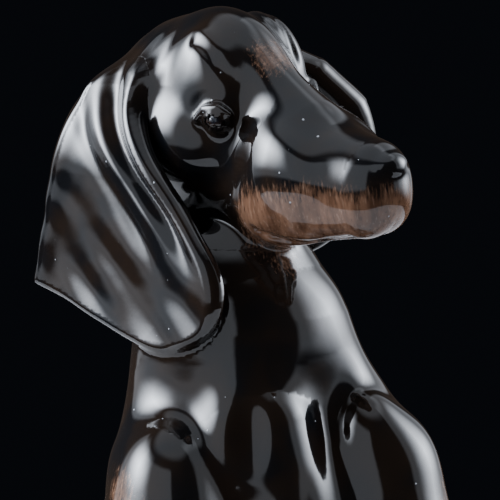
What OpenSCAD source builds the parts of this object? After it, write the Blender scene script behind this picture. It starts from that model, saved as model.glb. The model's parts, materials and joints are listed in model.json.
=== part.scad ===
// Sitting dachshund figurine in hollow cast porcelain.
// The dog faces -Y, its own left side is +X, and it stands on z = 0.

/* [Stance] */
// Height of the skull's centre above the ground
head_height = 89.3; // [86.3:0.5:91.3]
// Angle by which the head is turned to the dog's left
head_turn = 27; // [20:1:33]
// Angle by which the head leans over to the dog's right
head_lean = 8; // [2:1:11]

/* [Body] */
// Width of the rib cage
chest_w = 34; // [32.5:0.5:36]
// Distance from the middle of the chest back to the middle of the rump
back_len = 34; // [31:0.5:36]
// Spread of the front paws, centre to centre
paw_spread = 21; // [20:0.5:23]

/* [Head] */
// Distance from between the ears to the front of the nose
muzzle_reach = 34; // [32:0.5:36]
// Width of the skull
skull_w = 19; // [18:0.25:20]
// Length of the ear leather from root to lower rim
ear_len = 30; // [28:0.5:31]

/* [Shell] */
// Thickness of the cast wall
wall = 3; // [2.6:0.1:3.4]
// Diameter of the vent hole in the underside
vent_d = 3.6; // [3:0.1:3.8]

/* [Hidden] */

fine = 24;             // segments round a rounded form
RIGHT = -1;            // the dog's own right
LEFT = 1;
black = "#17120f";
tan = "#a4622f";

chest_at = [0, -2, 44];
rump_at = [0, chest_at.y + back_len, 17];
rump_r = 19.5;
neck_r = 12;
nape_r = 9.6;
head_at = [-5.8, 7.5, head_height];
stand = [-4.4, -(back_len + 6.2) / 2, 0];   // brings the middle of the footprint to the origin
seam_z = 76;           // height of the joint between the head and the body
paw_x = paw_spread / 2;
skull_at = [0, -0.5, 1.2];
skull_radii = [skull_w / 2, 11, 10.8];
eye_at = [7.2, -11.6, 2.6];
eye_r = 1.5;
tail_path = [[0, 48, 9], [3, 53, 7], [8, 56.5, 5.5], [13, 58, 4.6], [18, 57, 4],
             [23, 54.5, 3.4], [27, 51, 2.9], [30, 47, 2.4], [32, 43, 2]];

// Back, middle and front of each ear leather, row by row from the root down.
// The right ear hangs close to the neck and the left ear is swung out.
right_ear_rows = [
    [[8.2, 6.5, 5], [8.8, 3, 5.5], [8.7, -0.5, 5]],
    [[10.5, 10.8, -2], [12.1, 3, -2], [11.6, -4.5, -2]],
    [[12.8, 12, -9.5], [13.9, 1, -9.5], [13.1, -11, -9]],
    [[14.2, 12.6, -17], [14, 0, -17.5], [13.3, -14.8, -15.5]],
    [[14, 6, -19.4], [13.5, -3, -21.8], [12.8, -13, -20.8]]
];
left_ear_rows = [
    [[9.3, 5, 7], [9.8, 0, 7.5], [9.8, -3.5, 6.5]],
    [[14, 8, 1], [15.2, 0, 1], [15.2, -8.5, 1]],
    [[15.2, 10, -4], [16.7, 0, -4], [16.6, -10.5, -4.5]],
    [[14.2, 10, -11], [15.5, 0, -11], [15.4, -9, -11]],
    [[13.2, 7, -16.5], [13.8, 1, -17.8], [13.8, -4.5, -16.5]]
];
leather_r = [2.2, 1.9, 1.8, 1.7, 1.6];      // half the thickness of each row

// ---------------------------------------------------------------- shapes

// Smooth limb from a ball at a to a ball at b
module bone(a, ra, b, rb) {
    hull() {
        translate(a) sphere(ra, $fn = fine);
        translate(b) sphere(rb, $fn = fine);
    }
}

// Rounded mass with three radii
module blob(at, radii, turn = [0, 0, 0]) {
    hull() translate(at) rotate(turn) scale(radii) sphere(1, $fn = fine);
}

module above(z) {
    translate([-100, -100, z]) cube([200, 200, 200]);
}

module below(z) {
    translate([-100, -100, z - 200]) cube([200, 200, 200]);
}

// The head is drawn facing -Y about the middle of the skull, then put in its place
module in_head() {
    translate(head_at) rotate([0, 0, head_turn]) rotate([0, -head_lean, 0]) children();
}

// ---------------------------------------------------------------- trunk

// Trunk and neck, drawn in by the given thickness
module trunk(inset = 0) {
    blob(chest_at, [chest_w / 2 - inset, 16 - inset, 20 - inset]);
    bone([0, 2, 44], 16.8 - inset, [0, 15, 34], 16.2 - inset);
    bone([0, 15, 34], 16.2 - inset, rump_at + [0, -2, 2], rump_r - 1 - inset);
    blob(rump_at, [rump_r - 1, rump_r, rump_r] - inset * [1, 1, 1]);
    bone([0, 0, 47], neck_r + 2.3 - inset, [-0.8, -0.5, 61], neck_r - inset);
    bone([-0.8, -0.5, 61], neck_r - inset, head_at + [1.8, -5.5, -11.3], nape_r - inset);
}

// Breast, withers, shoulder blades and upper arms that stand out from the trunk
module shoulders() {
    for (side = [RIGHT, LEFT]) {
        blob([side * 4.4, -12.8, 54], [4.8, 4.6, 7]);
        bone([side * 5, 1, 62], 6.2, [side * 11, -3, 51], 6.8);
        blob([side * 12.6, -6.5, 45], [7.4, 9.6, 12.8], [12, 0, 0]);
        bone([side * 12.8, -9.5, 42], 7.2, [side * 12.8, -3, 30], 7);
    }
}

module skull() {
    blob(skull_at, skull_radii);
    blob([0, -6, 3], [7.8, 9.8, 10.2]);
    bone([0, 2, -3], 8.6, [0, -9, -4], 7.6);
    bone([0, -1, -6], 6, [0, -13, -7.2], 5.6);
    bone([0, -14, -2.9], 7, [0, 5.3 - muzzle_reach, -3.6], 4.2);
    blob([0, 5.6 - muzzle_reach, -5], [3.9, 4.6, 4.9]);
    blob([0, 2.5 - muzzle_reach, -2.1], [2.4, 2.5, 2]);
    for (side = [RIGHT, LEFT]) {
        blob([side * 5.2, -7.6, 5.6], [4.1, 6.5, 6.3]);
        blob([side * 4.4, -16.5, -1.6], [3.4, 6, 4.2]);
        bone([side * 2.2, -15, -7.2], 5.3, [side * 1.2, 6 - muzzle_reach, -7], 3.8);
    }
}

module eye(side) {
    in_head() blob([side * eye_at.x, eye_at.y, eye_at.z], eye_r * [1, 1, 1]);
}

module eyes() {
    for (side = [RIGHT, LEFT]) eye(side);
}

module ear_form(side) {
    rows = side == RIGHT ? right_ear_rows : left_ear_rows;
    drop = ear_len / 30;
    for (i = [0:3], j = [0:1]) {
        hull() {
            for (di = [0, 1], dj = [0, 1]) {
                at = rows[i + di][j + dj];
                translate([side * at.x, at.y, at.z * (at.z < 0 ? drop : 1)])
                    sphere(leather_r[i + di], $fn = 12);
            }
        }
    }
}

// ---------------------------------------------------------------- pieces

module body_shell() {
    color(black)
    difference() {
        intersection() {
            union() {
                trunk();
                shoulders();
            }
            above(0);
            below(seam_z);
        }
        difference() {
            trunk(wall);
            below(wall);
        }
        translate([rump_at.x, rump_at.y, -1]) cylinder(h = wall + 2, d = vent_d, $fn = fine);
    }
}

module head_shell() {
    color(black)
    difference() {
        intersection() {
            union() {
                trunk();
                in_head() skull();
            }
            above(seam_z);
        }
        intersection() {
            union() {
                trunk(wall);
                in_head() blob(skull_at, skull_radii - wall * [1, 1, 1]);
            }
            above(seam_z - 1);
        }
        eyes();
    }
}

module ear(side) {
    color(black)
    difference() {
        in_head() ear_form(side);
        in_head() skull();
        trunk();
        shoulders();
    }
}

module foreleg(side) {
    color(tan)
    difference() {
        intersection() {
            union() {
                bone([side * 12.8, -3.5, 28], 6, [side * 11.5, -7, 18], 5.4);
                bone([side * 11.5, -7, 18], 5.4, [side * paw_x, -9.5, 7], 4.6);
                blob([side * paw_x, -12.5, 4], [5.6, 7.5, 4.6]);
                bone([side * paw_x, -9.5, 7], 4.6, [side * paw_x, -12, 4.5], 4.2);
                for (toe = [-1.5:1:1.5]) {
                    bone([side * paw_x + 2.4 * toe, -12, 3.4], 2.2,
                         [side * paw_x + 2.7 * toe, -18.5 + abs(toe), 2.4], 2.1);
                }
            }
            above(0);
        }
        trunk();
        shoulders();
    }
}

module hindleg(side) {
    color(black)
    difference() {
        intersection() {
            union() {
                blob([side * 14.5, 25, 17], [7.5, 14, 15.5], [-18, 0, 0]);
                bone([side * 16, 16, 19], 6.6, [side * 17.5, 11, 10], 5.4);
                bone([side * 17, 30, 6], 5, [side * 18, 14, 4.6], 4.6);
                blob([side * 18.5, 8, 3.8], [5.4, 8, 4.2]);
                for (toe = [-1.5:1:1.5]) {
                    bone([side * 18.5 + 2.3 * toe, 6, 3.2], 2.1,
                         [side * 19 + 2.6 * toe, 1 + abs(toe), 2.2], 2);
                }
            }
            above(0);
        }
        trunk();
        shoulders();
    }
}

module tail() {
    color(black)
    difference() {
        intersection() {
            for (i = [0:len(tail_path) - 2]) {
                radius = 5.6 - 0.48 * i;
                bone(tail_path[i], radius, tail_path[i + 1], radius - 0.48);
            }
            above(0);
        }
        trunk();
        hindleg(LEFT);
    }
}

translate(stand) body_shell();
translate(stand) head_shell();
translate(stand) ear(RIGHT);  // ear_right
translate(stand) ear(LEFT);  // ear_left
translate(stand) foreleg(RIGHT);  // foreleg_right
translate(stand) foreleg(LEFT);  // foreleg_left
translate(stand) hindleg(RIGHT);  // hindleg_right
translate(stand) hindleg(LEFT);  // hindleg_left
translate(stand) tail();
translate(stand) color("#0b0c10") eye(RIGHT);  // eye_right
translate(stand) color("#0b0c10") eye(LEFT);  // eye_left
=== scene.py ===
import json
import math

import bpy
import numpy as np
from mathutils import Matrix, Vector


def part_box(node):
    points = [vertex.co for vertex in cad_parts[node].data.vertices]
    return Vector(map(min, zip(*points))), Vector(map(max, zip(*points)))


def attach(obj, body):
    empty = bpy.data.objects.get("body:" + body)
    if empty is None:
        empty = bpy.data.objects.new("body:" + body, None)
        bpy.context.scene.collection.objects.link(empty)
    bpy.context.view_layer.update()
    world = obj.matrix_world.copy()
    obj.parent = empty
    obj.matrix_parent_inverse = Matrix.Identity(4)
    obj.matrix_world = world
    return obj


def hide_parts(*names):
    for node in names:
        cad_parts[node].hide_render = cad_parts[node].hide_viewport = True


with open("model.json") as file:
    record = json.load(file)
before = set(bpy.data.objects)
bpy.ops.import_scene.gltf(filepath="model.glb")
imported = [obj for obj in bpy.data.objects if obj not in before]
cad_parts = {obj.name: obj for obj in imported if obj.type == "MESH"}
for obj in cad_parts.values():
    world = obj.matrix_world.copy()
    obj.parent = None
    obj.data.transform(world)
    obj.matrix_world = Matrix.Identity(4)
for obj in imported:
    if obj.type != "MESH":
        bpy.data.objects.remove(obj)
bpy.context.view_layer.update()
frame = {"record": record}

# Sitting dachshund in glazed porcelain, sculpted as one distance field and cut into its cast pieces.
# Shapes are in millimetres in the dog's own frame: it faces -Y, its left is +X and it stands on z = 0.
# The head has a frame of its own, with the same directions before it is turned.

MM = 0.001
FLOAT = np.float32
RIGHT, LEFT = -1, 1

REST_IN_DOG = (0, 38.1, 0)          # where the resting mount lies in the dog's own frame
rest_pos = frame["record"]["mounts"][0]["pos_m"]
STAND = np.array([rest_pos[i] / MM - REST_IN_DOG[i] for i in range(3)], FLOAT)

HEAD_AT = (-5.8, 7.5, 89.3)
HEAD_TURN, HEAD_LEAN, HEAD_NOD = 27, 8, 1
SEAM_Z = 76                         # joint between the head casting and the body casting
LAP = 0.5                           # how far a piece runs on under its neighbour
SINK = 0.16                         # how deep that lap lies under the neighbour's surface
EYE_AT = (7.0, -11.9, 2.5)
EYE_R = 1.2
PUPIL_R = 0.62
LEATHER = 1.3                       # half the thickness of an ear
VENT_AT, VENT_R, VENT_DEPTH = (0, 32), 1.8, 7

FINE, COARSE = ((0.34, 0.5))    # voxel of the head and of the body
EYE_VOXEL = 0.1
FAR = 30                            # distance given to points that are well away from a thin part


# ---------------------------------------------------------------- distance fields

def spin(x=0, y=0, z=0):
    """Rotation matrix for turns about x, then y, then z, in degrees."""
    cx, cy, cz = (math.cos(math.radians(v)) for v in (x, y, z))
    sx, sy, sz = (math.sin(math.radians(v)) for v in (x, y, z))
    about_x = np.array([[1, 0, 0], [0, cx, -sx], [0, sx, cx]])
    about_y = np.array([[cy, 0, sy], [0, 1, 0], [-sy, 0, cy]])
    about_z = np.array([[cz, -sz, 0], [sz, cz, 0], [0, 0, 1]])
    return (about_z @ about_y @ about_x).astype(FLOAT)


def melt(a, b, k):
    """Union of two fields with a fillet of about k."""
    h = np.maximum(k - np.abs(a - b), 0) / k
    return np.minimum(a, b) - h * h * h * k / 6


def carve(a, b, k):
    """Field a with b taken out of it, with a rounded edge of about k."""
    return -melt(-a, b, k)


def melt_all(fields, k):
    """Union of all the fields, with fillets of about k."""
    whole = fields[0]
    for field in fields[1:]:
        whole = melt(whole, field, k)
    return whole


def blob(p, centre, radii, turn=(0, 0, 0)):
    """Ellipsoid."""
    q = p - np.array(centre, FLOAT)
    if any(turn):
        q = q @ spin(*turn)
    radii = np.array(radii, FLOAT)
    near = np.linalg.norm(q / radii, axis=1)
    slope = np.linalg.norm(q / (radii * radii), axis=1)
    return near * (near - 1) / np.maximum(slope, 1e-6)


def bone(p, a, radius_a, b, radius_b):
    """Limb from a ball at a to a ball at b."""
    a = np.array(a, FLOAT)
    along = np.array(b, FLOAT) - a
    t = np.clip(((p - a) @ along) / (along @ along), 0, 1)
    return np.linalg.norm(p - a - t[:, None] * along, axis=1) - (radius_a + t * (radius_b - radius_a))


def chain(p, points, radii):
    """Line of limbs through the points."""
    links = [bone(p, points[i], radii[i], points[i + 1], radii[i + 1]) for i in range(len(points) - 1)]
    return np.minimum.reduce(links)


def mirrored(p):
    """The point, or its mirror image on the dog's left side."""
    m = p.copy()
    m[:, 0] = np.abs(m[:, 0])
    return m


def bump(x, middle, width):
    """1 at the middle, falling to 0 on both sides over about the width."""
    return np.exp(-((x - middle) / width) ** 2)


def ramp(x, start, end):
    """0 before start, 1 after end, smooth between."""
    t = np.clip((x - start) / (end - start), 0, 1)
    return t * t * (3 - 2 * t)


HEAD_SPIN = spin(z=HEAD_TURN) @ spin(y=-HEAD_LEAN) @ spin(x=HEAD_NOD)


def in_head(p):
    """The point in the head's frame."""
    return (p - np.array(HEAD_AT, FLOAT)) @ HEAD_SPIN


# ---------------------------------------------------------------- body

def torso(p):
    m = mirrored(p)
    barrel = melt_all([
        blob(p, (0, 0, 42), (16.4, 15, 18.5)),
        bone(p, (0, 2, 43), 15.8, (0, 15, 34), 16),
        bone(p, (0, 15, 34), 16, (0, 30, 19), 18),
        blob(p, (0, 32, 17), (18, 19.5, 19.5)),
    ], 7)
    neck = melt_all([
        bone(p, (-1.2, 2.4, 48), 13, (-2, 0.2, 65), 11.4),
        bone(p, (-2, 0.2, 65), 11.4, (-3, 1.6, 70.5), 10),
        bone(p, (-4.9, 0.6, 68), 8.8, (-5, 0.6, 52), 11.2),
    ], 4)
    shoulder = melt_all([
        blob(m, (12.6, -6.5, 45), (7, 9.2, 12.5), (12, 0, 0)),
        bone(m, (7, 1, 60), 5.6, (11.4, -3, 51), 6.4),
        bone(m, (12.8, -9.5, 42), 7, (12.8, -3, 30), 6.6),
    ], 5)
    d = melt(melt(barrel, neck, 5), shoulder, 4)
    return breast(p, m, d)


def breast(p, m, d):
    """Muscles of the chest, with the hollows between them."""
    bow = chain(p, [(-3, -0.4, 63), (-1.9, -9.5, 56.5), (-0.5, -11.4, 46)], [10.6, 5, 5.4])
    d = melt(d, bow, 3)
    d = melt(d, bone(p, (3.4, -2.6, 67), 5, (8, -3.4, 57.5), 5.2), 4)           # far side of the neck
    for x, y, z in ((-5.6, -10.6, 56), (10.6, -10.6, 53)):
        d = melt(d, blob(p, (x, y, z), (3.7, 3.2, 6.2), (-14, 0, 1.6 * x)), 4.5)
    d = melt(d, blob(m, (14.6, -9.2, 50), (3.0, 3.8, 5.0), (0, 0, 14)), 3)
    d = carve(d, bone(p, (1.6, -17.2, 51), 0.7, (0.4, -18.2, 42), 1.0), 3)
    d = carve(d, blob(p, (-5.6, -15.4, 57), (2.2, 2, 4.4), (-8, 0, 0)), 2.4)
    return carve(d, bone(m, (4, -17.6, 49), 0.7, (11, -17.4, 47.5), 0.3), 3)


def leg_with_toes(parts, p, toe_from, toe_to, spread_from, spread_to, radius):
    """Limb with four toes that fan out from its foot."""
    toes = []
    for toe in (-1.5, -0.5, 0.5, 1.5):
        root = (toe_from[0] + spread_from * toe, toe_from[1], toe_from[2])
        tip = (toe_to[0] + spread_to * toe, toe_to[1] + abs(toe), toe_to[2])
        toes.append(bone(p, root, radius, tip, radius - 0.1))
    return melt(melt_all(parts, 2.5), melt_all(toes, 0.5), 1.2)


def foreleg(p, side):
    paw_x = side * 10.5
    parts = [
        bone(p, (side * 12.8, -3.5, 28), 6, (side * 11.5, -7, 18), 5.2),
        bone(p, (side * 11.5, -7, 18), 5.2, (paw_x, -9.5, 7), 4.4),
        blob(p, (paw_x, -12, 4), (5.4, 7.2, 4.4)),
    ]
    return leg_with_toes(parts, p, (paw_x, -12, 3.6), (paw_x, -18.2, 2.4), 2.4, 2.7, 2.2)


def hindleg(p, side):
    parts = [
        blob(p, (side * 14.5, 25, 17), (7.5, 14, 15.5), (-18, 0, 0)),
        bone(p, (side * 16, 16, 19), 6.6, (side * 17.5, 11, 10), 5),
        bone(p, (side * 17, 30, 6), 5, (side * 18, 14, 4.6), 4.4),
        blob(p, (side * 18.5, 8, 3.8), (5.2, 8, 4.2)),
    ]
    return leg_with_toes(parts, p, (side * 18.5, 6, 3.3), (side * 19, 1, 2.3), 2.3, 2.6, 2.1)


def tail(p):
    """Tail that curls forward round the dog's left side."""
    path = open_curve([(0, 46, 10), (3, 53, 7), (8, 56.5, 5.5), (13, 58, 4.6), (18, 57, 4),
                       (23, 54.5, 3.4), (27, 51, 2.9), (30, 47, 2.4), (32, 43, 2)], 9)
    d = np.full(len(p), FAR, FLOAT)
    close = (p[:, 1] > 32) & (p[:, 2] < 24)
    if close.any():
        d[close] = chain(p[close], path, np.linspace(5.6, 1.8, len(path)))
    return d


def curve_point(a, b, c, d, t):
    """Point of a smooth curve between b and c."""
    bend = (2 * a - 5 * b + 4 * c - d) * t * t
    twist = (3 * b - a - 3 * c + d) * t ** 3
    return 0.5 * (2 * b + (c - a) * t + bend + twist)


def open_curve(points, steps=4):
    """Smooth line through the points."""
    points = np.array(points, FLOAT)
    ends = np.concatenate([points[:1], points, points[-1:]])
    line = [curve_point(*ends[i:i + 4], step / steps)
            for i in range(len(points) - 1) for step in range(steps)]
    return np.array(line + [points[-1]], FLOAT)


def closed_curve(points, steps=6):
    """Smooth closed outline through the points."""
    points = np.array(points, FLOAT)
    around = np.concatenate([points[-1:], points, points[:2]])
    return np.array([curve_point(*around[i:i + 4], step / steps)
                     for i in range(len(points)) for step in range(steps)], FLOAT)


def beside_line(a, b, points):
    """Distance to a line of points in the plane of the coordinates a and b."""
    flat = np.stack([a, b, np.zeros_like(a)], 1)
    return chain(flat, [(x, y, 0) for x, y in points], [0] * len(points))


# ---------------------------------------------------------------- head

def skull(q):
    m = mirrored(q)
    d = melt(blob(q, (0, -0.5, 0), (8.6, 10.8, 12.4)), blob(q, (0, -6, 1.4), (6.9, 9.8, 12.4)), 3)
    d = melt(d, bone(q, (0, 2, -3), 7.4, (0, -9, -3.6), 5.6), 4)
    d = melt(d, bone(q, (0, 0, -6), 5, (0, -13, -7.2), 4.2), 4)
    d = melt(d, blob(m, (6.6, -4.4, -1.0), (3.0, 5.0, 4.8)), 3)                 # temple
    for x, z in ((-3.8, 3.4), (4.9, 3.9)):                                      # brows
        d = melt(d, blob(q, (x, -7.0, z), (3.7, 6.0, 8.6), (0, 0, 1.5 * x)), 2.2)
    d = melt(d, bone(m, (2.4, -4, -6.2), 3.5, (2.6, -14, -7.4), 3.3), 3)        # jaw
    d = melt(d, bone(q, (0, -9, 8.4), 3.2, (0, -18.5, 0.8), 3.8), 3)            # bridge of the nose
    d = melt(d, muzzle(q, m), 4)
    d = melt(d, blob(m, (4.0, -18.2, -3.8), (3.0, 6.4, 5.4), (0, 6, 10)), 4)    # cheek
    d = carve(d, blob(m, (10.6, -13.6, 2.0), (3.5, 4.8, 4.8)), 3.5)             # socket
    d = d + 0.06 * np.sin(2.6 * (q[:, 1] + 0.35 * q[:, 2])) * fur_patch(m)
    return face_lines(eyelids(d, m), m)


def fur_patch(m):
    """1 on the side of the crown above each ear, where the coat lies in ripples."""
    return bump(np.linalg.norm(m - np.array((7, 1.5, 8), FLOAT), axis=1), 0, 5)


def muzzle(q, m):
    d = bone(q, (0, -17, -2.2), 6, (0, -28.6, -3.4), 3.6)
    d = melt(d, bone(m, (2.0, -17, -7.2), 5.2, (1.1, -28, -6.8), 3.6), 2.5)
    d = melt(d, bone(m, (3.0, -19, -3.6), 4, (1.2, -27.6, -4.2), 3.4), 3)
    d = melt(d, blob(q, (0, -28.2, -5), (3.8, 4.5, 4.8)), 2)
    d = melt(d, blob(m, (3.4, -19.6, -9.6), (2.0, 4.6, 1.9), (0, 0, 8)), 1.0)   # overhanging lip
    return melt(d, blob(q, (0, -31.2, -2.3), (2.3, 1.9, 1.6)), 0.8)             # nose leather


def eyelids(d, m):
    ball = np.linalg.norm(m - np.array(EYE_AT, FLOAT), axis=1)
    d = melt(d, ball - (EYE_R + 0.15), 2.6)
    upper = chain(m, [(7.9, -9.4, 2.6), (7.8, -10.8, 3.9), (7.3, -12.6, 4.1), (6.7, -13.8, 3.3)],
                  [0.1, 0.2, 0.2, 0.1])
    return carve(melt(d, upper, 2), ball - (EYE_R + 0.02), 0.3)


def face_lines(d, m):
    """Mouth, brow crease and nostrils, drawn in with a tool."""
    out, y, z = m[:, 0], m[:, 1], m[:, 2]
    mouth = beside_line(y, z, [(-16.2, -9.6), (-19.4, -10.9), (-24, -10.9), (-27.5, -10.2)])
    d = d + 0.5 * bump(mouth, 0, 0.5) * ramp(-z, 6, 8) * ramp(out, 1, 2.2)
    crease = beside_line(out, y, [(5.4, -7.6), (5.5, -10.6), (5.0, -12.8)])
    d = d + 0.3 * bump(crease, 0, 0.6) * ramp(z, 6, 8)
    nostril = chain(m, [(1.4, -33.2, -2.6), (2.3, -32.5, -2.4)], [0.35, 0.3])
    return carve(d, nostril, 0.7)


# ---------------------------------------------------------------- ears

def outline_distance(flat, outline):
    """Distance in the plane to a closed outline, negative inside it."""
    nearest = np.full(len(flat), 1e9, FLOAT)
    inside = np.zeros(len(flat), bool)
    for a, b in zip(outline, np.roll(outline, -1, 0)):
        along = b - a
        away = flat - a
        t = np.clip((away @ along) / max(along @ along, 1e-9), 0, 1)
        nearest = np.minimum(nearest, ((away - t[:, None] * along) ** 2).sum(1))
        if a[1] != b[1]:
            crossing = (b[0] - a[0]) * (flat[:, 1] - a[1]) / (b[1] - a[1]) + a[0]
            inside ^= ((a[1] > flat[:, 1]) != (b[1] > flat[:, 1])) & (flat[:, 0] < crossing)
    return np.sqrt(nearest) * np.where(inside, -1, 1)


# Outlines of the ear leathers seen from the side, as (y, z) in the head's frame
RIGHT_OUTLINE = closed_curve([
    (-1, 8), (-1.9, 4), (-4.6, 0), (-8.4, -4.2), (-12.6, -8.8), (-16, -13), (-16.8, -16.8), (-15, -20.4),
    (-10, -22.7), (-3.4, -22.2), (5.8, -19.8), (12.6, -18.2), (14.4, -17.2), (13.6, -12), (12.4, -6),
    (11.8, 0), (10, 3.6), (7, 6.6), (3, 8.4)])
LEFT_OUTLINE = closed_curve([
    (-2, 9), (-4.5, 6.2), (-7.4, 4), (-10, 1.8), (-11.7, -1.2), (-12, -4.4), (-11.3, -8), (-9.5, -12.5),
    (-6.5, -16.5), (-2, -19), (4, -19.5), (9, -17.5), (11.5, -12), (11.5, -6), (10.5, 0), (9, 4), (6, 8),
    (2, 10)])

# Rolled front rim of the left ear
LEFT_ROLL = [(9, -4.6, 7), (12.6, -7, 3.4), (15, -8.6, -1), (15, -8.2, -6.6), (14, -6.6, -12)]
LEFT_ROLL_RADII = [1.4, 2.4, 2.8, 2.4, 1.4]


def right_sheet(y, z):
    """How far out the right ear's leather lies: close along the neck, with a ridge down its back half."""
    ridge_y = 7.9 - 0.3 * z
    back = np.maximum(y - ridge_y, 0)
    front = np.maximum(ridge_y - y, 0)
    out = 13.7 - 0.1 * (z + 13) - 0.04 * np.maximum(z + 4, 0) ** 2 + 0.011 * np.maximum(-z - 13, 0) ** 2
    out = out - 0.9 * (np.sqrt(back * back + 0.6) - 0.775) + 0.25 * bump(y, ridge_y, 1.6)
    out = out - (0.0012 + 0.0035 * ramp(z, -15, 1)) * front * front
    return (out + right_folds(y, z)).astype(FLOAT)


def right_folds(y, z):
    """Rolled front rim, the grooves behind it, and soft waves in the lower half."""
    behind_rim = 0.85 * (y + 9 - 8 * np.cos(np.pi * (8 - z) / 25))
    rolls = (0.4 * bump(behind_rim, 0.9, 1.1) - 0.6 * bump(behind_rim, 3.1, 1.4)
             + 0.38 * bump(behind_rim, 5.6, 1.3) - 0.28 * bump(behind_rim, 8.0, 1.4))
    across, along = 0.69 * y - 0.72 * z, 0.72 * y + 0.69 * z
    waves = 0.13 * np.sin(1.15 * across + 0.4) * (0.65 + 0.35 * np.sin(0.5 * along))
    return rolls * ramp(z, -17, -7) + waves * ramp(-z, 3, 9)


def left_sheet(y, z):
    """The left ear's leather, swung out from the head."""
    levels = [-20, -14, -8, -4, 0, 4, 8, 10]
    reach = [13.2, 14.8, 16.4, 16.8, 16, 13.2, 8.6, 6.6]
    out = np.interp(z, levels, reach) - 0.006 * (y + 5) ** 2
    return (out + 0.15 * np.sin(0.9 * y + 0.3 * z) * ramp(-z, -2, 6)).astype(FLOAT)


def leather(q, side):
    """An ear: a leaf of even thickness with a round rim."""
    sheet, outline = (right_sheet, RIGHT_OUTLINE) if side == RIGHT else (left_sheet, LEFT_OUTLINE)
    out, y, z = side * q[:, 0], q[:, 1], q[:, 2]
    d = np.full(len(q), FAR, FLOAT)
    close = (out > 3) & (out < 23) & (np.abs(y) < 20) & (z < 14) & (z > -29)
    if not close.any():
        return d
    out, y, z = out[close], y[close], z[close]
    step = 0.15
    slope_y = (sheet(y + step, z) - sheet(y - step, z)) / (2 * step)
    slope_z = (sheet(y, z + step) - sheet(y, z - step)) / (2 * step)
    across = np.abs(out - sheet(y, z)) / np.sqrt(1 + slope_y ** 2 + slope_z ** 2)
    beyond = outline_distance(np.stack([y, z], 1), outline) + LEATHER
    d[close] = (np.minimum(np.maximum(across, beyond), 0)
                + np.hypot(np.maximum(across, 0), np.maximum(beyond, 0)) - LEATHER)
    if side == LEFT:
        d = melt(d, chain(q, LEFT_ROLL, LEFT_ROLL_RADII), 3)
    return d


# ---------------------------------------------------------------- the whole figure and its pieces

def figure(p):
    """The fired figure's outer surface, and the distance to each casting under it."""
    q = in_head(p)
    trunk = torso(p)
    head = skull(q)
    castings = {"tail": tail(p)}
    for side, hand in ((RIGHT, "right"), (LEFT, "left")):
        castings["ear_" + hand] = leather(q, side)
        castings["foreleg_" + hand] = foreleg(p, side)
        castings["hindleg_" + hand] = hindleg(p, side)
    legs = [castings[name] for name in castings if "leg_" in name]
    ears = np.minimum(castings["ear_right"], castings["ear_left"])
    ear_root = 1 + 3.5 * np.clip((q[:, 2] - 2) / 4, 0, 1)
    surface = melt(melt(trunk, np.minimum.reduce(legs), 2), castings["tail"], 2)
    surface = melt(melt(surface, head, 3), ears, ear_root.astype(FLOAT))
    vent = np.hypot(p[:, 0] - VENT_AT[0], p[:, 1] - VENT_AT[1]) - VENT_R
    surface = np.maximum(surface, -np.maximum(vent, p[:, 2] - VENT_DEPTH))
    castings["body_shell"] = np.maximum(trunk, p[:, 2] - SEAM_Z)
    castings["head_shell"] = np.minimum(head, np.maximum(trunk, SEAM_Z - p[:, 2]))
    return np.maximum(surface, -p[:, 2]), castings


def casting(name):
    """Field of one casting: the part of the figure nearest to it, with a lap under its neighbours."""
    def field(p):
        surface, castings = figure(p)
        others = np.minimum.reduce([castings[other] for other in castings if other != name])
        border = (castings[name] - others) / 2
        return np.maximum(surface + SINK * np.clip(border / LAP, 0, 1), border - LAP)
    return field


def eye_bead(side):
    """Slightly flattened bead with a fine ring round its pupil."""
    def field(p):
        q = in_head(p)
        centre = (side * EYE_AT[0], EYE_AT[1], EYE_AT[2])
        bead = blob(q, centre, (EYE_R - 0.05, EYE_R, EYE_R))
        ring = np.hypot(q[:, 1] - centre[1], q[:, 2] - centre[2]) - PUPIL_R
        return carve(bead, np.hypot(ring, bead) - 0.05, 0.12)
    return field


# ---------------------------------------------------------------- meshing

BLOCK = 4                           # voxels along a block
NEAR_BLOCKS = 2.2                   # how far from the surface, in blocks, the field is still worked out


def sample(field, points, step=250000):
    """The field at the points, a share at a time to save memory."""
    return np.concatenate([field(points[i:i + step]) for i in range(0, len(points), step)])


def slope(field, points, reach=0.02):
    """Gradient of the field, which is the surface normal."""
    result = np.empty_like(points)
    for axis in range(3):
        shift = np.zeros(3, FLOAT)
        shift[axis] = reach
        result[:, axis] = (field(points + shift) - field(points - shift)) / (2 * reach)
    return result


def field_on_grid(field, low, high, voxel):
    """The field on a grid, worked out fully only in the blocks near the surface."""
    pitch = voxel * BLOCK
    counts = np.ceil((high - low) / pitch).astype(int) + 1
    axes = [low[i] + pitch * np.arange(counts[i], dtype=FLOAT) for i in range(3)]
    corners = np.stack(np.meshgrid(*axes, indexing="ij"), -1).reshape(-1, 3)
    rough = sample(field, corners).reshape(counts)
    near = np.abs(rough) < NEAR_BLOCKS * pitch
    for axis in range(3):
        near = near | np.roll(near, 1, axis) | np.roll(near, -1, axis)
    for axis in range(3):
        rough = np.repeat(rough, BLOCK, axis)
        near = np.repeat(near, BLOCK, axis)
    places = np.argwhere(near)
    rough[near] = sample(field, low + voxel * places.astype(FLOAT))
    return rough


def corner_slices(shape, corner):
    """Picks one corner of every cell of a grid."""
    return tuple(slice(corner[i], shape[i] - 1 + corner[i]) for i in range(3))


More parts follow.
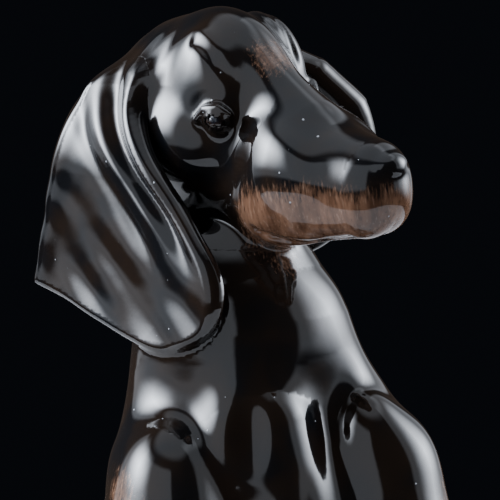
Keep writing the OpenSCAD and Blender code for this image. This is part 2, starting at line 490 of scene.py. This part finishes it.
def surface_net(values, low, voxel):
    """Closed mesh of quads where the field is zero, with one point in each cell that the surface crosses."""
    inside = values < 0
    filled = sum(inside[corner_slices(values.shape, c)].astype(np.uint8) for c in np.ndindex(2, 2, 2))
    crossed = (filled > 0) & (filled < 8)
    cells = np.argwhere(crossed)
    number = np.full(crossed.shape, -1, np.int32)
    number[crossed] = np.arange(len(cells))
    total = np.zeros((len(cells), 3), FLOAT)
    count = np.zeros(len(cells), FLOAT)
    quads = []
    for axis in range(3):
        first, second = (axis + 1) % 3, (axis + 2) % 3
        for u, v in np.ndindex(2, 2):
            start = np.zeros(3, int)
            start[[first, second]] = u, v
            end = start.copy()
            end[axis] = 1
            a = values[tuple((cells + start).T)]
            b = values[tuple((cells + end).T)]
            cut = (a < 0) != (b < 0)
            place = np.tile(start.astype(FLOAT), (len(cells), 1))
            place[:, axis] = np.where(cut, a / np.where(cut, a - b, 1), 0)
            total += place * cut[:, None]
            count += cut
        quads += quads_across(inside, number, axis, first, second)
    return low + voxel * (cells + total / count[:, None]), np.concatenate(quads)


def quads_across(inside, number, axis, first, second):
    """Quads round each grid edge along one axis that passes through the surface."""
    here = [slice(1, size - 1) for size in inside.shape]
    there = list(here)
    here[axis] = slice(0, inside.shape[axis] - 1)
    there[axis] = slice(1, inside.shape[axis])
    a, b = inside[tuple(here)], inside[tuple(there)]
    found = []
    for leaving, turn in ((a & ~b, 1), (~a & b, -1)):
        edges = np.argwhere(leaving)
        edges[:, [first, second]] += 1
        ring = []
        for back_first, back_second in ((1, 1), (0, 1), (0, 0), (1, 0)):
            cell = edges.copy()
            cell[:, first] -= back_first
            cell[:, second] -= back_second
            ring.append(number[tuple(cell.T)])
        found.append(np.stack(ring, 1)[:, ::turn])
    return found


def settle(field, points, voxel, rounds=2):
    """Moves the points onto the surface along the field's slope."""
    for _ in range(rounds):
        gradient = slope_of_all(field, points)
        move = gradient * (-sample(field, points) / np.maximum((gradient ** 2).sum(1), 0.05))[:, None]
        length = np.maximum(np.linalg.norm(move, axis=1), 1e-9)
        points = points + move * np.minimum(1, 0.6 * voxel / length)[:, None]
    return points


def slope_of_all(field, points):
    return sample(lambda some: slope(field, some), points)


def mesh_piece(name, field, low, high, voxel):
    """Blender object of one field, in metres in the CAD frame, with its markings stored on its points."""
    low, high = np.array(low, FLOAT), np.array(high, FLOAT)
    points, quads = surface_net(field_on_grid(field, low, high, voxel), low, voxel)
    points = settle(field, points.astype(FLOAT), voxel)
    normals = slope_of_all(field, points)
    normals /= np.linalg.norm(normals, axis=1)[:, None]
    mesh = bpy.data.meshes.new(name)
    mesh.vertices.add(len(points))
    mesh.vertices.foreach_set("co", ((points + STAND) * MM).astype(FLOAT).ravel())
    mesh.loops.add(quads.size)
    mesh.loops.foreach_set("vertex_index", quads.astype(np.int32).ravel())
    mesh.polygons.add(len(quads))
    mesh.polygons.foreach_set("loop_start", np.arange(0, quads.size, 4, dtype=np.int32))
    mesh.update(calc_edges=True)
    mesh.polygons.foreach_set("use_smooth", np.ones(len(quads), bool))
    mesh.normals_split_custom_set_from_vertices(normals.tolist())
    store_markings(mesh, points)
    piece = bpy.data.objects.new(name, mesh)
    bpy.context.scene.collection.objects.link(piece)
    return piece


# ---------------------------------------------------------------- markings

def tan_depth(p):
    """How far inside the tan markings a point lies, in millimetres; negative outside them."""
    q = in_head(p)
    m, b = mirrored(q), mirrored(p)
    patches = [
        bone(m, (6.2, -17.6, -8.6), 4.2, (5.0, -24.5, -7.6), 3.7),        # lips
        bone(m, (5.0, -24.5, -7.6), 3.7, (3.0, -30.6, -7.4), 2.9),
        bone(q, (0, -32.4, -6.8), 3.1, (0, -27, -11), 4.4),               # front of the muzzle and the chin
        blob(m, (1.0, -14.6, 8.6), (1.1, 1.8, 1.9)),                      # brow spot
        blob(p, (1.8, -9.5, 76.4), (2.7, 4, 3)),                          # throat
        bone(b, (17.4, -9.4, 49.5), 2.6, (15.0, -13.5, 43), 2.8),         # chest
        bone(b, (11.6, -6.5, 19), 7.5, (10.5, -14, 0), 9.5),              # forelegs
        bone(b, (18.6, 12, 1), 7.2, (18.8, 2, 1), 7.2),                   # hind paws
        blob(p, (0, 50, 3), (7, 5, 5)),                                   # under the tail
    ]
    nose = blob(q, (0, -32.4, -2.2), (3.4, 3.0, 2.5))
    return -np.maximum(np.minimum.reduce(patches), -nose)


def store_markings(mesh, points):
    """Stores the depth of the tan markings, and coordinates that run slowly along the painted hair."""
    depth = mesh.attributes.new("tan_depth", "FLOAT", "POINT")
    depth.data.foreach_set("value", tan_depth(points).astype(FLOAT))
    hair = np.where((points[:, 2] > SEAM_Z)[:, None], in_head(points), points)
    brush = mesh.attributes.new("brush", "FLOAT_VECTOR", "POINT")
    brush.data.foreach_set("vector", (hair * np.array([1, 1, 0.2])).astype(FLOAT).ravel())


# ---------------------------------------------------------------- materials

TAN_DARK, TAN_LIGHT = (0.062, 0.030, 0.017, 1), (0.135, 0.070, 0.042, 1)
TAN_PALE_HAIR, TAN_DARK_HAIR = (0.30, 0.21, 0.155, 1), (0.028, 0.013, 0.007, 1)
BLUE_BLACK, BROWN_BLACK = (0.0032, 0.0038, 0.0048, 1), (0.0095, 0.0062, 0.0045, 1)
DUST_GREY = (0.35, 0.37, 0.4, 1)
GLAZE_IOR = 1.54


class Nodes:
    """Short way to write a node tree: each call adds a node and returns the output asked for."""

    def __init__(self, tree):
        self.tree = tree

    def put(self, socket, value):
        if isinstance(value, bpy.types.NodeSocket):
            self.tree.links.new(value, socket)
        else:
            socket.default_value = value

    def add(self, kind, inputs=None, output=0, **settings):
        node = self.tree.nodes.new(kind)
        for key, value in settings.items():
            setattr(node, key, value)
        for key, value in (inputs or {}).items():
            self.put(node.inputs[key], value)
        return node.outputs[output]

    def math(self, operation, a, b=0.0):
        return self.add("ShaderNodeMath", {0: a, 1: b}, operation=operation)

    def ramp(self, value, start, end):
        """0 at start, 1 at end, smooth between."""
        return self.add("ShaderNodeMapRange", {"Value": value, "From Min": start, "From Max": end},
                        interpolation_type="SMOOTHSTEP")

    def noise(self, vector, scale, detail=2.0, roughness=0.5):
        return self.add("ShaderNodeTexNoise", {"Vector": vector, "Scale": scale, "Detail": detail,
                                               "Roughness": roughness})

    def mix(self, factor, a, b):
        node = self.tree.nodes.new("ShaderNodeMix")
        node.data_type = "RGBA"
        colours = [socket for socket in node.inputs if socket.type == "RGBA"]
        for socket, value in zip([node.inputs[0]] + colours, (factor, a, b)):
            self.put(socket, value)
        return next(socket for socket in node.outputs if socket.type == "RGBA")

    def warped(self, vector, scale, reach):
        """The vector, shaken a little by noise."""
        shake = self.tree.nodes.new("ShaderNodeTexNoise")
        self.put(shake.inputs["Vector"], vector)
        shake.inputs["Scale"].default_value = scale
        scaled = self.add("ShaderNodeVectorMath", {0: shake.outputs["Color"], "Scale": reach},
                          operation="SCALE")
        return self.add("ShaderNodeVectorMath", {0: vector, 1: scaled}, operation="ADD")

    def add_output(self, shader, kind="ShaderNodeOutputMaterial"):
        target = self.tree.nodes.new(kind)
        self.tree.links.new(shader, target.inputs["Surface"])


def new_material(name):
    material = bpy.data.materials.new(name)
    material.use_nodes = True
    material.node_tree.nodes.clear()
    return material, Nodes(material.node_tree)


def finish_material(nodes, inputs, height, height_mm):
    """Principled shader with a bump of the given height, joined to the output."""
    normal = nodes.add("ShaderNodeBump", {"Height": height, "Strength": 1.0, "Distance": height_mm * MM})
    shader = nodes.add("ShaderNodeBsdfPrincipled", {**inputs, "Normal": normal})
    nodes.add_output(shader)


def glaze(name):
    """Black underglaze with brushed tan markings, under a clear glossy glaze with dust fired into it."""
    material, nodes = new_material(name)
    place = nodes.add("ShaderNodeTexCoord", output="Object")
    depth = nodes.add("ShaderNodeAttribute", output="Fac", attribute_name="tan_depth")
    brush = nodes.add("ShaderNodeAttribute", output="Vector", attribute_name="brush")
    hairs = nodes.noise(brush, 3.2, 2.0, 0.6)
    wisps = nodes.noise(brush, 0.9, 2.0)

    ragged = nodes.math("MULTIPLY", nodes.math("SUBTRACT", hairs, 0.5), 4.5)
    painted = nodes.ramp(nodes.math("ADD", depth, ragged), -0.9, 1.2)
    tan = nodes.mix(nodes.ramp(wisps, 0.3, 0.7), TAN_DARK, TAN_LIGHT)
    pale_hairs = nodes.math("MULTIPLY", nodes.ramp(hairs, 0.56, 0.72), 0.25)
    tan = nodes.mix(pale_hairs, tan, TAN_PALE_HAIR)
    dark_hairs = nodes.math("MULTIPLY", nodes.ramp(hairs, 0.42, 0.3), 0.5)
    tan = nodes.mix(dark_hairs, tan, TAN_DARK_HAIR)

    drift = nodes.noise(place, 160, 2.0)
    black = nodes.mix(nodes.ramp(drift, 0.35, 0.65), BLUE_BLACK, BROWN_BLACK)
    colour = nodes.mix(painted, black, tan)
    specks = dust(nodes, place)
    colour = nodes.mix(nodes.math("MULTIPLY", specks, 0.7), colour, DUST_GREY)

    haze = nodes.noise(place, 90, 3.0)
    gloss = nodes.add("ShaderNodeMapRange", {"Value": haze, "From Min": 0.3, "From Max": 0.7,
                                             "To Min": 0.035, "To Max": 0.085})
    gloss = nodes.math("ADD", gloss, nodes.math("MULTIPLY", specks, 0.5))
    swell = nodes.math("MULTIPLY", nodes.noise(place, 260, 1.0), 0.9)
    peel = nodes.math("MULTIPLY", nodes.noise(place, 1300, 1.0), 0.07)
    grit = nodes.math("MULTIPLY", specks, 0.25)
    relief = nodes.math("ADD", nodes.math("ADD", swell, peel), grit)
    finish_material(nodes, {"Base Color": colour, "Roughness": gloss, "IOR": GLAZE_IOR}, relief, 0.045)
    return material


def dust(nodes, place):
    """Sparse specks of dust, 1 where one lies."""
    spot = nodes.tree.nodes.new("ShaderNodeTexVoronoi")
    spot.inputs["Scale"].default_value = 950
    nodes.tree.links.new(nodes.warped(place, 2200, 0.00012), spot.inputs["Vector"])
    shade = nodes.add("ShaderNodeSeparateColor", {"Color": spot.outputs["Color"]}, output="Red")
    size = nodes.add("ShaderNodeMapRange", {"Value": shade, "From Min": 0.86, "From Max": 1.0,
                                            "To Min": 0.0, "To Max": 0.13})
    return nodes.ramp(nodes.math("SUBTRACT", spot.outputs["Distance"], size), 0.02, -0.03)


def enamel(name):
    """Blue-black enamel of the eyes, clouded with brown."""
    material, nodes = new_material(name)
    place = nodes.add("ShaderNodeTexCoord", output="Object")
    cloud = nodes.noise(place, 900, 2.0)
    colour = nodes.mix(nodes.ramp(cloud, 0.35, 0.65), (0.004, 0.006, 0.011, 1), (0.016, 0.009, 0.006, 1))
    wear = nodes.add("ShaderNodeMapRange", {"Value": nodes.noise(place, 3000),
                                            "To Min": 0.02, "To Max": 0.06})
    finish_material(nodes, {"Base Color": colour, "Roughness": wear, "IOR": GLAZE_IOR}, cloud, 0.01)
    return material


def floor_paper(name):
    """Pale matt board."""
    material, nodes = new_material(name)
    place = nodes.add("ShaderNodeTexCoord", output="Object")
    fibre = nodes.noise(place, 1800, 4.0, 0.7)
    cloud = nodes.noise(place, 14, 2.0)
    colour = nodes.mix(nodes.ramp(cloud, 0.3, 0.7), (0.50, 0.50, 0.51, 1), (0.56, 0.555, 0.55, 1))
    rough = nodes.add("ShaderNodeMapRange", {"Value": fibre, "To Min": 0.6, "To Max": 0.8})
    finish_material(nodes, {"Base Color": colour, "Roughness": rough}, fibre, 0.05)
    return material


# ---------------------------------------------------------------- pieces

MATERIALS = {
    "black_glaze": glaze("black_glaze"),
    "tan_glaze": glaze("tan_glaze"),
    "eye_enamel": enamel("eye_enamel"),
}
MARGIN = 4                          # room round a node's own box for the fillets at its joints

FINE_PIECES = ("head_shell", "ear_right", "ear_left")
CASTING_SLOTS = {
    "body_shell": "black_glaze",
    "head_shell": "black_glaze",
    "ear_right": "black_glaze",
    "ear_left": "black_glaze",
    "foreleg_right": "tan_glaze",
    "foreleg_left": "tan_glaze",
    "hindleg_right": "black_glaze",
    "hindleg_left": "black_glaze",
    "tail": "black_glaze",
}


def node_range(node):
    """Box of a CAD node in the dog's own frame, with the margin round it."""
    low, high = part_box(node)
    low = np.array(low, FLOAT) / MM - STAND - MARGIN
    high = np.array(high, FLOAT) / MM - STAND + MARGIN
    return low, high


def declare(piece, node, slot):
    piece.data.materials.append(MATERIALS[slot])
    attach(piece, "root")
    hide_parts(node)


for node, slot in CASTING_SLOTS.items():
    voxel = FINE if node in FINE_PIECES else COARSE
    piece = mesh_piece(node + "_glazed", casting(node), *node_range(node), voxel)
    declare(piece, node, slot)

for side, hand in ((RIGHT, "right"), (LEFT, "left")):
    node = "eye_" + hand
    piece = mesh_piece(node + "_bead", eye_bead(side), *node_range(node), EYE_VOXEL)
    declare(piece, node, "eye_enamel")


# ---------------------------------------------------------------- stage

FLOOR_R, FLOOR_THICK = 0.165, 0.003             # in metres


def floor_disc():
    """Thin board with a rounded rim."""
    rings = [(0.0, 0.0), (0.5, 0.0), (1.0, 0.0), (1.01, -0.2 * FLOOR_THICK), (1.01, -0.8 * FLOOR_THICK),
             (1.0, -FLOOR_THICK), (0.0, -FLOOR_THICK)]
    around = 96
    points = []
    for reach, z in rings:
        for i in range(around):
            angle = 2 * math.pi * i / around
            points.append((FLOOR_R * reach * math.cos(angle), FLOOR_R * reach * math.sin(angle), z))
    faces = []
    for ring in range(len(rings) - 1):
        for i in range(around):
            a, b = ring * around + i, ring * around + (i + 1) % around
            faces.append((a, a + around, b + around, b))
    mesh = bpy.data.meshes.new("floor")
    mesh.from_pydata(points, [], faces)
    mesh.validate()
    board = bpy.data.objects.new("floor", mesh)
    bpy.context.scene.collection.objects.link(board)
    mesh.materials.append(floor_paper("floor_board"))


# Soft studio lights, as seen from the dog: azimuth 0 is in front of it and 90 on its left.
# Each has its middle, half its width and half its softness in azimuth, the same in elevation, and its power.
SOFTBOXES = [
    ((-107, 16, 24), (24, 14, 15), 44),
    ((-87, 63, 3), (16, 26, 3), 1.0),
    ((0, 180, 1), (90, 32, 6), 0.85),
    ((94, 10, 26), (18, 16, 22), 27),
    ((96, 48, 4), (30, 40, 6), 0.8),
]
BACKDROP = (0.0028, 0.0034, 0.0048, 1)      # all that the camera sees of the room
ROOM_GLOW = (0.05, 0.038, 0.032, 1)
COOL_LIGHT = (0.84, 0.90, 1.0, 1)


def studio():
    world = bpy.data.worlds.new("studio")
    world.use_nodes = True
    world.node_tree.nodes.clear()
    nodes = Nodes(world.node_tree)
    direction = nodes.add("ShaderNodeTexCoord", output="Generated")
    x, y, z = (nodes.add("ShaderNodeSeparateXYZ", {"Vector": direction}, output=axis) for axis in "XYZ")
    azimuth = nodes.math("ARCTAN2", x, nodes.math("MULTIPLY", y, -1.0))
    elevation = nodes.math("ARCSINE", z)
    light = 0.0
    for across, upward, power in SOFTBOXES:
        glow = nodes.math("MULTIPLY", panel(nodes, azimuth, *across), panel(nodes, elevation, *upward))
        light = nodes.math("ADD", nodes.math("MULTIPLY", glow, power), light)
    boxes = nodes.add("ShaderNodeBackground", {"Color": COOL_LIGHT, "Strength": light})
    room = nodes.add("ShaderNodeBackground", {"Color": ROOM_GLOW, "Strength": 1.0})
    backdrop = nodes.add("ShaderNodeBackground", {"Color": BACKDROP, "Strength": 1.0})
    lit = nodes.add("ShaderNodeAddShader", {0: boxes, 1: room})
    seen = nodes.add("ShaderNodeLightPath", output="Is Camera Ray")
    shown = nodes.add("ShaderNodeMixShader", {0: seen, 1: lit, 2: backdrop})
    nodes.add_output(shown, "ShaderNodeOutputWorld")
    bpy.context.scene.world = world


def panel(nodes, angle, middle, half, soft):
    """1 within half an angle of the middle, fading over the soft edge."""
    middle, half, soft = (math.radians(v) for v in (middle, half, soft))
    away = nodes.add("ShaderNodeMath", {0: nodes.math("SUBTRACT", angle, middle), 1: math.pi, 2: -math.pi},
                     operation="WRAP")
    return nodes.ramp(nodes.math("ABSOLUTE", away), half + soft, half - soft)


CAMERA_AZIMUTH, CAMERA_ELEVATION = -15, 8
CAMERA_AIM = (-1.3, 0, 75)
CAMERA_AWAY = 280
VIEW_WIDTH = 57.5                   # how much of the dog the image spans at the aim, in millimetres
SENSOR = 36


def camera():
    view = bpy.data.cameras.new("camera")
    view.sensor_width = SENSOR
    view.lens = SENSOR * CAMERA_AWAY / VIEW_WIDTH
    view.clip_start = 0.01
    eye = bpy.data.objects.new("camera", view)
    azimuth, elevation = math.radians(CAMERA_AZIMUTH), math.radians(CAMERA_ELEVATION)
    back = Vector((math.sin(azimuth) * math.cos(elevation), -math.cos(azimuth) * math.cos(elevation),
                   math.sin(elevation)))
    aim = Vector((STAND + np.array(CAMERA_AIM)).tolist())
    eye.location = (aim + back * CAMERA_AWAY) * MM
    eye.rotation_mode = "QUATERNION"
    eye.rotation_quaternion = (-back).to_track_quat("-Z", "Y")
    bpy.context.scene.collection.objects.link(eye)
    bpy.context.scene.camera = eye


floor_disc()
studio()
camera()
